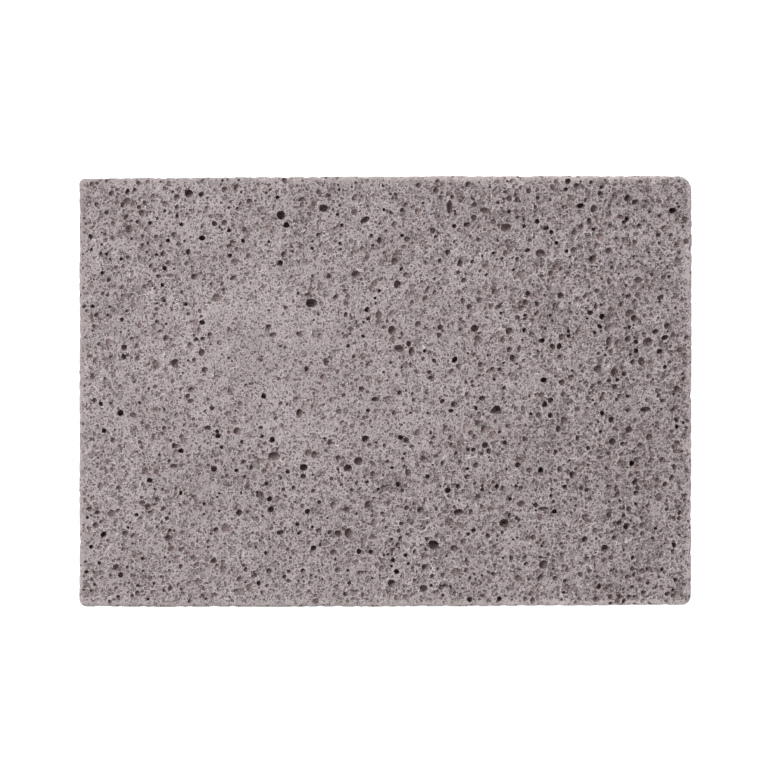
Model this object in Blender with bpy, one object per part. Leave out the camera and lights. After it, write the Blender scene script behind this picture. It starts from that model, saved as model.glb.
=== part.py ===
"""A pumice stone: one sawn block of grey-mauve pumice, open with round pores on every face.

Metres, +Z up. The block lies on one of its two large faces. Its origin is on the surface
under the middle of its box, with +X along its length and +Y across its width.
"""

import math
import random
from typing import NamedTuple

import bmesh
import bpy
from mathutils import Matrix, Vector

MM = 0.001

# Driving sizes of the block
LENGTH = 100.0 * MM
WIDTH = 70.4 * MM
THICKNESS = 25.0 * MM

# The saw left the block a little out of square
END_DROP = 0.44 * MM
END_LEAN = 0.14 * MM

# The four upright corners seen from above: X, Y and the radius that each is worn to
BACK_LEFT = (-LENGTH / 2, WIDTH / 2 - END_DROP, 1.1 * MM)
BACK_RIGHT = (LENGTH / 2, WIDTH / 2, 2.4 * MM)
FRONT_RIGHT = (LENGTH / 2 - END_LEAN, -WIDTH / 2 + END_DROP, 1.5 * MM)
FRONT_LEFT = (-LENGTH / 2, -WIDTH / 2, 1.3 * MM)
CORNERS = (BACK_LEFT, BACK_RIGHT, FRONT_RIGHT, FRONT_LEFT)
CORNER_STEPS = 4
CORNER_SNAP = 0.01 * MM

# The rims of the large faces are rubbed round
RIM_ROUND = 0.8 * MM
RIM_STEPS = 3

# Pits: the largest pores, which show from a step away
PIT_SEED = 41
PIT_GAP = 0.2 * MM
PIT_MARGIN = 0.9 * MM
PIT_STRETCH = 0.28
PIT_TRIES = 400
REST_CLEAR = 4.0 * MM
SPARSE_SIDE = 0.45

# How many pits each face has: bowls and cones
UPPER_PITS = (50, 180)
UNDER_PITS = (24, 70)
LONG_SIDE_PITS = (14, 38)
END_PITS = (9, 26)

# The larger pits are bowls, parts of a bubble with a round floor
BOWL_LARGEST = 0.88 * MM
BOWL_SMALLEST = 0.72 * MM
BOWL_SIDES = 8
BOWL_RINGS = 4
BOWL_RISE_LEAST = 0.06
BOWL_RISE_MOST = 0.5

# The smaller pits are plain cones
CONE_LARGEST = 0.72 * MM
CONE_SMALLEST = 0.50 * MM
CONE_SIDES = 6
CONE_DEPTH = 1.1
CONE_PROUD = 0.3

# The largest pores of the upper face: place from its middle, half length, half width
# (all in mm), turn in degrees, and how shallow each is, from 0 (deep) to 1 (a dish)
LANDMARK_PITS = (
    (-17.05, 28.63, 0.77, 0.70, 80, 0.0),
    (-10.08, 29.71, 0.72, 0.66, 0, 0.2),
    (-32.02, 32.14, 0.72, 0.68, 0, 0.3),
    (-12.05, 14.35, 1.01, 0.73, 5, 0.2),
    (-18.19, -10.55, 1.01, 0.73, -10, 0.5),
    (-13.34, -12.38, 0.69, 0.58, 0, 0.1),
    (-6.16, -12.48, 0.72, 0.60, 0, 0.1),
    (-3.25, -7.74, 0.66, 0.58, 0, 0.1),
    (18.03, -3.10, 0.98, 0.73, 10, 0.3),
    (7.81, -24.98, 0.88, 0.82, 0, 0.2),
    (35.73, -25.54, 0.62, 0.60, 0, 0.2),
    (0.98, -31.19, 0.66, 0.64, 0, 0.2),
    (6.22, -32.06, 0.70, 0.60, 0, 0.3),
    (14.52, 10.21, 0.68, 0.60, 0, 0.1),
    (20.14, 9.80, 0.66, 0.60, 60, 0.4),
    (19.64, 26.63, 0.82, 0.74, 0, 0.7),
    (25.21, 22.42, 0.82, 0.70, 0, 0.6),
    (33.80, 21.47, 0.70, 0.68, 0, 0.6),
    (33.97, 29.66, 0.70, 0.58, 90, 0.5),
    (39.52, 31.39, 0.62, 0.60, 0, 0.3),
    (42.69, 7.99, 0.82, 0.78, 0, 0.6),
    (34.63, 3.61, 0.70, 0.68, 0, 0.6),
    (37.36, 3.07, 0.82, 0.70, 90, 0.6),
    (42.38, -2.96, 0.90, 0.46, 5, 0.5),
    (-4.87, 18.98, 0.72, 0.66, 0, 0.5),
    (1.94, 17.37, 0.70, 0.60, 90, 0.3),
    (1.08, 9.90, 0.82, 0.66, 90, 0.6),
    (2.22, 6.94, 0.90, 0.58, -20, 0.6),
    (-34.26, 4.51, 0.79, 0.70, 90, 0.5),
    (-35.41, -23.94, 0.70, 0.58, 0, 0.6),
    (-4.44, -11.33, 0.76, 0.66, 0, 0.5),
    (-6.01, -23.11, 0.86, 0.70, 90, 0.5),
    (19.32, -21.47, 0.82, 0.74, 0, 0.4),
    (22.14, -18.35, 0.68, 0.60, 0, 0.6),
    (11.94, -19.66, 0.86, 0.56, 0, 0.4),
    (25.72, -28.17, 0.74, 0.72, 0, 0.7),
    (10.46, 29.92, 1.16, 0.50, 88, 0.5),
    (-20.46, -16.82, 0.70, 0.60, 0, 0.5),
    (30.57, -13.62, 0.66, 0.58, 90, 0.4),
    (-3.35, 27.83, 0.88, 0.48, 25, 0.5),
)

STONE_COLOUR = (0.300, 0.262, 0.262, 1.0)
STONE_ROUGHNESS = 0.95


class Face(NamedTuple):
    """A face of the block: its middle, its own axes, its half sizes and its counts of pits."""

    middle: Vector
    along: Vector
    across: Vector
    normal: Vector
    half_along: float
    half_across: float
    bowls: int
    cones: int


class Pit(NamedTuple):
    """One open pore: its place on a face, its half sizes there, its turn, rise and kind.

    The rise is how far the middle of the bubble stands proud of the face, in parts of its
    half depth, so a bowl with a high rise is a shallow dish.
    """

    face: Face
    along: float
    across: float
    half_length: float
    half_width: float
    turn: float
    rise: float
    bowl: bool


def side_face(start, end, pits):
    """The upright face that runs from one corner of the block to the next, with its pits."""
    first = Vector((start[0], start[1], THICKNESS / 2))
    last = Vector((end[0], end[1], THICKNESS / 2))
    along = (last - first).normalized()
    up = Vector((0, 0, 1))
    half_along = (last - first).length / 2
    return Face((first + last) / 2, along, up, along.cross(up), half_along, THICKNESS / 2, *pits)


def faces_of_block():
    """The six faces by name."""
    x, y, z = Vector((1, 0, 0)), Vector((0, 1, 0)), Vector((0, 0, 1))
    half_length = LENGTH / 2
    half_width = WIDTH / 2
    return {
        "top": Face(z * THICKNESS, x, y, z, half_length, half_width, *UPPER_PITS),
        "bottom": Face(Vector(), -x, y, -z, half_length, half_width, *UNDER_PITS),
        "front": side_face(FRONT_LEFT, FRONT_RIGHT, LONG_SIDE_PITS),
        "right": side_face(FRONT_RIGHT, BACK_RIGHT, END_PITS),
        "back": side_face(BACK_RIGHT, BACK_LEFT, LONG_SIDE_PITS),
        "left": side_face(BACK_LEFT, FRONT_LEFT, END_PITS),
    }


def bevel(mesh, edges, radius, steps):
    """Rounds some edges of a bmesh."""
    bmesh.ops.bevel(
        mesh,
        geom=edges,
        offset=radius,
        offset_type="OFFSET",
        segments=steps,
        profile=0.5,
        affect="EDGES",
        clamp_overlap=True,
    )


def upright_edge(mesh, corner):
    """The block's upright edge at a corner, before that corner is rounded."""
    for edge in mesh.edges:
        first, second = (vertex.co for vertex in edge.verts)
        upright = abs(first.z - second.z) > THICKNESS / 2
        if upright and math.dist(first.xy, corner[:2]) < CORNER_SNAP:
            return edge
    raise ValueError("the block has no such edge")


def block_mesh():
    """The sawn block, out of square, with rounded corners and rims."""
    mesh = bmesh.new()
    bmesh.ops.create_cube(mesh, size=1.0)
    bmesh.ops.scale(mesh, vec=(LENGTH, WIDTH, THICKNESS), verts=mesh.verts)
    bmesh.ops.translate(mesh, vec=(0, 0, THICKNESS / 2), verts=mesh.verts)
    for vertex in mesh.verts:
        nearest = min(CORNERS, key=lambda corner: math.dist(vertex.co.xy, corner[:2]))
        vertex.co.xy = nearest[:2]
    for corner in CORNERS:
        bevel(mesh, [upright_edge(mesh, corner)], corner[2], CORNER_STEPS)
    mesh.normal_update()
    rims = [edge for face in mesh.faces if abs(face.normal.z) > 0.9 for edge in face.edges]
    bevel(mesh, rims, RIM_ROUND, RIM_STEPS)
    mesh.normal_update()
    data = bpy.data.meshes.new("pumice_stone")
    mesh.to_mesh(data)
    mesh.free()
    return data


def clear_of(pit, others):
    """Whether a pit keeps its gap to each of the others on its face."""
    for other in others:
        if other.face is not pit.face:
            continue
        distance = math.hypot(pit.along - other.along, pit.across - other.across)
        if distance < pit.half_length + other.half_length + PIT_GAP:
            return False
    return True


def landmark_pits(face):
    """The pits of the upper face that are known one by one."""
    reach = BOWL_RISE_MOST - BOWL_RISE_LEAST
    return [
        Pit(
            face,
            along * MM,
            across * MM,
            half_length * MM,
            half_width * MM,
            math.radians(turn),
            BOWL_RISE_LEAST + reach * shallow,
            True,
        )
        for along, across, half_length, half_width, turn, shallow in LANDMARK_PITS
    ]


def pit_radii(face, bowls_placed):
    """The radius and kind of each pit that a face still needs, the largest first."""
    kinds = (
        (face.bowls - bowls_placed, BOWL_LARGEST, BOWL_SMALLEST, True),
        (face.cones, CONE_LARGEST, CONE_SMALLEST, False),
    )
    for count, largest, smallest, bowl in kinds:
        for number in range(count):
            share = math.sqrt(number / max(1, count - 1))
            yield largest + (smallest - largest) * share, bowl


def scattered_pits(name, face, placed, rng):
    """Fills a face up to its numbers of pits, from the largest to the smallest."""
    found = list(placed)
    for radius, bowl in pit_radii(face, len(placed)):
        for _ in range(PIT_TRIES):
            stretch = 1 + PIT_STRETCH * rng.random()
            half_length = radius * math.sqrt(stretch)
            room_along = face.half_along - half_length - PIT_MARGIN
            room_across = face.half_across - half_length - PIT_MARGIN
            pit = Pit(
                face,
                rng.uniform(-room_along, room_along),
                rng.uniform(-room_across, room_across),
                half_length,
                radius / math.sqrt(stretch),
                rng.uniform(0, math.pi),
                rng.uniform(BOWL_RISE_LEAST, BOWL_RISE_MOST) if bowl else 0.0,
                bowl,
            )
            right_hand = 0.5 + 0.5 * pit.along / face.half_along
            sparse = name == "top" and rng.random() > SPARSE_SIDE + right_hand
            on_rest = name == "bottom" and math.hypot(pit.along, pit.across) < REST_CLEAR
            if not sparse and not on_rest and clear_of(pit, found):
                found.append(pit)
                break
    return found


def all_pits():
    """Every pit of the block, face by face."""
    rng = random.Random(PIT_SEED)
    pits = []
    for name, face in faces_of_block().items():
        known = landmark_pits(face) if name == "top" else []
        pits.extend(scattered_pits(name, face, known, rng))
    return pits


def pit_frame(pit):
    """The pit's own axes and middle, scaled to its half sizes."""
    face = pit.face
    section = math.sqrt(1 - pit.rise**2)
    length = pit.half_length / section
    width = pit.half_width / section
    depth = 0.5 * (length + width)
    if not pit.bowl:
        depth *= CONE_DEPTH
    cosine, sine = math.cos(pit.turn), math.sin(pit.turn)
    first = face.along * cosine + face.across * sine
    second = face.normal.cross(first)
    middle = face.middle + face.along * pit.along + face.across * pit.across
    middle = middle + face.normal * (depth * pit.rise)
    columns = (first * length, second * width, face.normal * depth, middle)
    rows = [[column[row] for column in columns] for row in range(3)]
    return Matrix(rows + [[0, 0, 0, 1]])


def cutter_batches(pits):
    """Parts the pits into batches in which no two meet, so that each batch is one clean cutter."""
    batches = []
    for pit in pits:
        for batch in batches:
            if clear_of(pit, batch):
                batch.append(pit)
                break
        else:
            batches.append([pit])
    return batches


def add_bowl(mesh, pit):
    """Adds the bubble that cuts a bowl."""
    bmesh.ops.create_uvsphere(
        mesh,
        u_segments=BOWL_SIDES,
        v_segments=BOWL_RINGS,
        radius=1.0,
        matrix=pit_frame(pit),
    )


def add_cone(mesh, pit):
    """Adds a cone with its point in the stone, as wide as the pit where it meets the face."""
    height = 1 + CONE_PROUD
    bmesh.ops.create_cone(
        mesh,
        cap_ends=True,
        segments=CONE_SIDES,
        radius1=0.0,
        radius2=height,
        depth=height,
        matrix=pit_frame(pit) @ Matrix.Translation((0, 0, CONE_PROUD - height / 2)),
    )


def cutter_mesh(name, pits):
    """One mesh with a bubble or a cone for each pit."""
    mesh = bmesh.new()
    for pit in pits:
        if pit.bowl:
            add_bowl(mesh, pit)
        else:
            add_cone(mesh, pit)
    data = bpy.data.meshes.new(name)
    mesh.to_mesh(data)
    mesh.free()
    return data


def stone_material():
    """Matt grey-mauve stone."""
    material = bpy.data.materials.new("pumice")
    material.use_nodes = True
    shader = material.node_tree.nodes["Principled BSDF"]
    shader.inputs["Base Color"].default_value = STONE_COLOUR
    shader.inputs["Roughness"].default_value = STONE_ROUGHNESS
    shader.inputs["Metallic"].default_value = 0.0
    return material


def collection(name):
    """A new collection in the scene."""
    made = bpy.data.collections.new(name)
    bpy.context.scene.collection.children.link(made)
    return made


def main():
    for old in list(bpy.data.objects):
        bpy.data.objects.remove(old, do_unlink=True)
    parts = collection("pumice_stone_parts")
    cutters = collection("pumice_stone_cutters")
    cutters.hide_render = True

    stone = bpy.data.objects.new("pumice_stone", block_mesh())
    stone.data.materials.append(stone_material())
    parts.objects.link(stone)

    for number, batch in enumerate(cutter_batches(all_pits()), start=1):
        name = f"pits_{number}"
        cutter = bpy.data.objects.new(name, cutter_mesh(name, batch))
        cutter.hide_render = True
        cutter.display_type = "WIRE"
        cutters.objects.link(cutter)
        cut = stone.modifiers.new(name, "BOOLEAN")
        cut.operation = "DIFFERENCE"
        cut.solver = "EXACT"
        cut.object = cutter


main()
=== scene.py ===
"""The looks of a pumice stone: one sawn block of grey-mauve pumice, full of open bubbles.

Metres, +Z up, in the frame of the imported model. The block lies on one of its two large
faces, with +X along its length and +Y across its width. Its bubbles are cut into a finer
block of the same size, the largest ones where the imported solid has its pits.
"""

import logging
import math
import random
from collections.abc import Callable, Iterator
from dataclasses import dataclass, field, replace
from enum import Enum
from typing import ClassVar

import bmesh
import bpy
import numpy as np
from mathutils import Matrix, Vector
from mathutils.kdtree import KDTree


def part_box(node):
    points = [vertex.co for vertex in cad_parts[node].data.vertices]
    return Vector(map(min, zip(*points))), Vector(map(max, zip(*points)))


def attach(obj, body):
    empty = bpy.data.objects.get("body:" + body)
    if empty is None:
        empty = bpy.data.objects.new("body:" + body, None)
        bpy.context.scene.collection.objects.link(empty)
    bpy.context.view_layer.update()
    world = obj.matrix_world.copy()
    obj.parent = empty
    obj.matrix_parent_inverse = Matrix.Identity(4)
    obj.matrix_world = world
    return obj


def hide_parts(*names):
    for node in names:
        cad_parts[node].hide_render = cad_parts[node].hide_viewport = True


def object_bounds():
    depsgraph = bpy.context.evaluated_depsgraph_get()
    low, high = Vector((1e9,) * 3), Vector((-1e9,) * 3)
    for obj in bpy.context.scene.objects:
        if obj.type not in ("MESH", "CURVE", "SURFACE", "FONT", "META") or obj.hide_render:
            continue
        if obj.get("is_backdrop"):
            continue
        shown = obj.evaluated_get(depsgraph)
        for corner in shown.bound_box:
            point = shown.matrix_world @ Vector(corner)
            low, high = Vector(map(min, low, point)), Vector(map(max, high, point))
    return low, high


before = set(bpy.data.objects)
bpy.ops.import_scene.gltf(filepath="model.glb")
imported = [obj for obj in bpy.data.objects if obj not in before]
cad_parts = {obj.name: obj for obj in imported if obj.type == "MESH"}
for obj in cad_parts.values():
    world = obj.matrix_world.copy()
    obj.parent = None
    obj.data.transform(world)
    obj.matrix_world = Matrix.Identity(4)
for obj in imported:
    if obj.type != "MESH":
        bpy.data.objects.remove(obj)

CAD_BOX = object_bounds()
LOG = logging.getLogger("pumice_stone")

MM = 0.001
NODE = "pumice_stone"
SHEET_MAP = "OFBake"
PORE_MAP = "Pore"
GROUND_TONE = 0.5
LARGE_PORE = 0.56 * MM
MIDDLE_PORE = 0.40 * MM


class Side(Enum):
    """The six faces of the block, and the rubbed edges between them."""

    TOP = "top"
    BOTTOM = "bottom"
    FRONT = "front"
    RIGHT = "right"
    BACK = "back"
    LEFT = "left"
    RIM = "rim"


class Mould(Enum):
    """How finely a bubble is modelled: its sides, and its rings from the floor to the rim."""

    LARGE = (10, 3)
    MIDDLE = (8, 2)
    SMALL = (6, 2)

    @property
    def sides(self) -> int:
        """The number of points in each ring."""
        return self.value[0]

    @property
    def rings(self) -> int:
        """The number of rings from the floor to the rim."""
        return self.value[1]


class PoreKind(Enum):
    """The forms of pores: least and most undercut, then least and most stretch in depth.

    The undercut is how far the middle of the bubble lies below the face, in parts of its
    half depth, so a dish has a negative one.
    """

    DISH = (-0.72, -0.40, 0.90, 1.10)
    BOWL = (-0.40, 0.05, 0.95, 1.20)
    BUBBLE = (0.05, 0.45, 1.00, 1.35)
    WELL = (0.10, 0.40, 1.70, 2.60)

    def undercut(self, rng: random.Random) -> float:
        """A random undercut of this kind."""
        return rng.uniform(self.value[0], self.value[1])

    def stretch(self, rng: random.Random) -> float:
        """A random stretch in depth of this kind."""
        return rng.uniform(self.value[2], self.value[3])


@dataclass(frozen=True)
class Face:
    """One face of the block: its own axes, its half sizes and its place on the flat sheet."""

    side: Side
    middle: Vector
    along: Vector
    across: Vector
    normal: Vector
    half_along: float
    half_across: float
    sheet_middle: tuple[float, float]
    sheet_turn: float

    def point(self, along: float, across: float) -> Vector:
        """The point of the face at a distance along and across from its middle."""
        return self.middle + self.along * along + self.across * across

    def on_sheet(self, along: float, across: float) -> tuple[float, float]:
        """The place of a point of the face on the flat sheet.

        Args:
            along: The point's distance from the middle along the face.
            across: Its distance across the face.

        Returns:
            The place on the sheet, in metres from the sheet's corner.
        """
        cosine, sine = math.cos(self.sheet_turn), math.sin(self.sheet_turn)
        return (
            self.sheet_middle[0] + along * cosine - across * sine,
            self.sheet_middle[1] + along * sine + across * cosine,
        )


@dataclass
class SawnBlock:
    """The sawn block before it has pores: a little out of square, with rubbed edges."""

    low: Vector
    high: Vector
    back_drop: float = 0.45 * MM
    front_drop: float = 0.34 * MM
    end_lean: float = 0.14 * MM
    belly: float = 0.145 * MM
    wave: float = 0.05 * MM
    wave_length: float = 17.0 * MM
    back_left_round: float = 0.85 * MM
    back_right_round: float = 2.4 * MM
    front_right_round: float = 1.5 * MM
    front_left_round: float = 1.3 * MM
    corner_steps: int = 5
    corner_snap: float = 0.02 * MM
    rim_round: float = 0.7 * MM
    rim_steps: int = 4
    slice_pitch: float = 6.5 * MM
    sheet_gap: float = 1.6 * MM
    length: float = field(init=False)
    width: float = field(init=False)
    thickness: float = field(init=False)

    def __post_init__(self) -> None:
        """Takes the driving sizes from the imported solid's box."""
        self.length, self.width, self.thickness = self.high - self.low

    @property
    def sheet_side(self) -> float:
        """The side of the square sheet on which all six faces are laid out."""
        return self.length + self.width + 3 * self.sheet_gap

    def corners(self) -> list[tuple[float, float, float]]:
        """The upright corners in the order back left, back right, front right, front left.

        Returns:
            X, Y and the radius of each corner.
        """
        left, right = self.low.x, self.high.x
        front, back = self.low.y, self.high.y
        return [
            (left, back - self.back_drop, self.back_left_round),
            (right, back, self.back_right_round),
            (right - self.end_lean, front + self.front_drop, self.front_right_round),
            (left, front, self.front_left_round),
        ]

    def _side_face(self, side: Side, start: tuple, end: tuple, sheet_middle: tuple) -> Face:
        """The upright face from one corner to the next."""
        half_height = self.thickness / 2
        first = Vector((start[0], start[1], half_height))
        last = Vector((end[0], end[1], half_height))
        along = (last - first).normalized()
        up = Vector((0, 0, 1))
        half_along = (last - first).length / 2
        turn = math.pi / 2 if side in (Side.RIGHT, Side.BACK, Side.LEFT) else 0.0
        middle = (first + last) / 2
        return Face(side, middle, along, up, along.cross(up), half_along, half_height, sheet_middle, turn)

    def faces(self) -> dict[Side, Face]:
        """The six faces, each with its island on the sheet.

        Returns:
            The faces by side, in the order in which their pores are drawn.
        """
        x, y, z = Vector((1, 0, 0)), Vector((0, 1, 0)), Vector((0, 0, 1))
        half_length, half_width, half_height = self.length / 2, self.width / 2, self.thickness / 2
        gap = self.sheet_gap
        column = gap + half_length
        shelf = gap + half_width
        side_column = 2 * gap + self.length + half_height
        last_column = side_column + gap + self.thickness
        back_left, back_right, front_right, front_left = self.corners()
        top_place = (column, shelf)
        bottom_place = (column, shelf + self.width + gap)
        front_place = (column, 3 * gap + 2 * self.width + half_height)
        right_place = (side_column, shelf)
        left_place = (last_column, shelf)
        back_place = (side_column, 2 * gap + self.width + half_length)
        return {
            Side.TOP: Face(
                Side.TOP, z * self.thickness, x, y, z, half_length, half_width, top_place, 0.0
            ),
            Side.BOTTOM: Face(
                Side.BOTTOM, Vector(), -x, y, -z, half_length, half_width, bottom_place, 0.0
            ),
            Side.FRONT: self._side_face(Side.FRONT, front_left, front_right, front_place),
            Side.RIGHT: self._side_face(Side.RIGHT, front_right, back_right, right_place),
            Side.BACK: self._side_face(Side.BACK, back_right, back_left, back_place),
            Side.LEFT: self._side_face(Side.LEFT, back_left, front_left, left_place),
        }

    def rims(self) -> list[Face]:
        """The rubbed edges as narrow slanting faces, each on the sheet beside a face that it bounds.

        Returns:
            The four upper and four lower rims, then the four upright edges.
        """
        faces = self.faces()
        up = Vector((0, 0, 1))
        sides = [faces[side] for side in (Side.FRONT, Side.RIGHT, Side.BACK, Side.LEFT)]
        inset = self.rim_round * (1 - math.sqrt(0.5))
        rims = []
        for large, turned in ((faces[Side.TOP], 1), (faces[Side.BOTTOM], -1)):
            for side in sides:
                along = side.along * turned
                normal = (side.normal + large.normal).normalized()
                corner = side.point(0, turned * side.half_across)
                middle = corner - (side.normal + large.normal) * inset
                offset = middle - large.middle
                place = large.on_sheet(offset.dot(large.along), offset.dot(large.across))
                turn = math.atan2(along.dot(large.across), along.dot(large.along))
                across = normal.cross(along)
                rims.append(
                    Face(Side.RIM, middle, along, across, normal, side.half_along, 0.0, place, turn)
                )
        rounds = [corner[2] for corner in self.corners()]
        for side, after, radius in zip(sides, sides[1:] + sides[:1], rounds[2:] + rounds[:2]):
            inset = radius * (1 - math.sqrt(0.5))
            normal = (side.normal + after.normal).normalized()
            middle = side.point(side.half_along, 0) - (side.normal + after.normal) * inset
            place = side.on_sheet(side.half_along - inset, 0)
            turn = side.sheet_turn + math.pi / 2
            across = normal.cross(up)
            rims.append(Face(Side.RIM, middle, up, across, normal, side.half_across, 0.0, place, turn))
        return rims

    def bend(self, stone: bpy.types.Object) -> None:
        """Gives the long edges their belly, and all upright faces a slight wave.

        Args:
            stone: The block with its pores.
        """
        points = np.empty(3 * len(stone.data.vertices), np.float32)
        stone.data.vertices.foreach_get("co", points)
        points = points.reshape(-1, 3)
        x, y = points[:, 0].copy(), points[:, 1].copy()
        ends, edges = 2 * x / self.length, 2 * y / self.width
        turn = math.tau / self.wave_length
        points[:, 1] += edges * self.belly * (1 - ends**2)
        points[:, 1] -= edges * self.wave * (0.5 + 0.5 * np.sin(turn * x + edges))
        points[:, 0] -= ends * self.wave * (0.5 + 0.5 * np.sin(turn * y + 2 * ends))
        stone.data.vertices.foreach_set("co", points.ravel())
        stone.data.update()

    def build(self) -> bpy.types.Object:
        """Models the block from a cube.

        Returns:
            The block as a mesh object at the origin, with both of its UV maps.
        """
        bpy.ops.object.select_all(action="DESELECT")
        middle = (self.low + self.high) / 2
        bpy.ops.mesh.primitive_cube_add(size=1.0, location=middle, scale=self.high - self.low)
        block = bpy.context.active_object
        block.name = "pumice_block"
        bpy.ops.object.transform_apply(location=True, rotation=True, scale=True)
        bpy.ops.object.mode_set(mode="EDIT")
        bpy.ops.mesh.select_mode(type="EDGE")
        self._put_out_of_square(block)
        for corner in self.corners():
            self._select(block, lambda a, b: self._is_upright(a, b, corner))
            bpy.ops.mesh.bevel(offset=corner[2], segments=self.corner_steps, affect="EDGES")
        self._select(block, self._on_a_rim)
        bpy.ops.mesh.bevel(offset=self.rim_round, segments=self.rim_steps, affect="EDGES")
        self._slice()
        bpy.ops.object.mode_set(mode="OBJECT")
        self._lay_out(block)
        return block

    def _put_out_of_square(self, block: bpy.types.Object) -> None:
        """Moves the upright edges to where the saw left them."""
        moves = (
            ((self.low.x, self.high.y), (0, -self.back_drop, 0)),
            ((self.high.x, self.low.y), (-self.end_lean, self.front_drop, 0)),
        )
        for place, move in moves:
            self._select(block, lambda a, b: self._is_upright(a, b, place))
            bpy.ops.transform.translate(value=move)

    def _is_upright(self, first: Vector, last: Vector, corner: tuple) -> bool:
        """Whether an edge is the upright one at a corner."""
        tall = abs(first.z - last.z) > self.thickness / 2
        return tall and math.dist(first.xy, corner[:2]) < self.corner_snap

    def _on_a_rim(self, first: Vector, last: Vector) -> bool:
        """Whether an edge lies in the outline of a large face."""
        return abs(first.z - last.z) < self.corner_snap

    @staticmethod
    def _select(block: bpy.types.Object, chosen: Callable[[Vector, Vector], bool]) -> None:
        """Selects the edges whose two ends pass a test, and no others."""
        bpy.ops.mesh.select_all(action="DESELECT")
        mesh = bmesh.from_edit_mesh(block.data)
        for edge in mesh.edges:
            edge.select_set(chosen(edge.verts[0].co, edge.verts[1].co))
        mesh.select_flush_mode()
        bmesh.update_edit_mesh(block.data)

    def _slice(self) -> None:
        """Cuts the large faces and sides into tiles, so that no face is a long sliver."""
        for axis in range(3):
            span = self.high[axis] - self.low[axis]
            count = round(span / self.slice_pitch)
            for number in range(1, count):
                point = [0.0, 0.0, 0.0]
                point[axis] = self.low[axis] + span * number / count
                normal = [0.0, 0.0, 0.0]
                normal[axis] = 1.0
                bpy.ops.mesh.select_all(action="SELECT")
                bpy.ops.mesh.bisect(plane_co=point, plane_no=normal)

    def _lay_out(self, block: bpy.types.Object) -> None:
        """Writes the block's two UV maps: its flat sheet, and the ground's pore values."""
        faces = list(self.faces().values())
        sheet = block.data.uv_layers[0] if block.data.uv_layers else block.data.uv_layers.new()
        sheet.name = SHEET_MAP
        pore = block.data.uv_layers.new(name=PORE_MAP)
        vertices = block.data.vertices
        for polygon in block.data.polygons:
            face = max(faces, key=lambda each: each.normal.dot(polygon.normal))
            for loop in polygon.loop_indices:
                offset = vertices[block.data.loops[loop].vertex_index].co - face.middle
                place = face.on_sheet(offset.dot(face.along), offset.dot(face.across))
                sheet.uv[loop].vector = (place[0] / self.sheet_side, place[1] / self.sheet_side)
                pore.uv[loop].vector = (0.0, GROUND_TONE)


@dataclass(frozen=True)
class Pore:
    """One open pore: where its opening lies, how large it is, what form it has and how dark the painted
    shade on its floor is.
    """

    face: Face
    along: float
    across: float
    half_length: float
    half_width: float
    turn: float
    kind: PoreKind
    undercut: float
    stretch: float
    lean: tuple[float, float]
    # How dark the painted shade on the pore's floor is, from 0 to 1
    tone: float

    @property
    def size(self) -> float:
        """The mean radius of the opening."""
        return math.sqrt(self.half_length * self.half_width)

    @property
    def mould(self) -> Mould:
        """The mould that suits the opening's size."""
        if self.size > LARGE_PORE:
            return Mould.LARGE
        return Mould.MIDDLE if self.size > MIDDLE_PORE else Mould.SMALL

    @property
    def depth(self) -> float:
        """The depth of the floor below the face."""
        return self.half_depth * (1 + self.undercut)

    @property
    def half_depth(self) -> float:
        """The bubble's own half size at right angles to the face."""
        return self.size * self.stretch / math.sqrt(1 - self.undercut**2)

    @property
    def reach(self) -> float:
        """How far the bubble spreads sideways from the middle of its opening."""
        bulge = 1 / math.sqrt(1 - max(0.0, self.undercut) ** 2)
        return 1.15 * self.half_length * bulge + self.depth * math.hypot(*self.lean)

    def frame(self) -> tuple[Vector, Vector, Vector, Vector]:
        """The pore's own axes and the middle of its opening.

        Returns:
            Its long axis, its short axis, the way out of the stone, and its middle.
        """
        face = self.face
        cosine, sine = math.cos(self.turn), math.sin(self.turn)
        first = face.along * cosine + face.across * sine
        second = face.normal.cross(first)
        middle = face.point(self.along, self.across)
        return first, second, face.normal, middle


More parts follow.
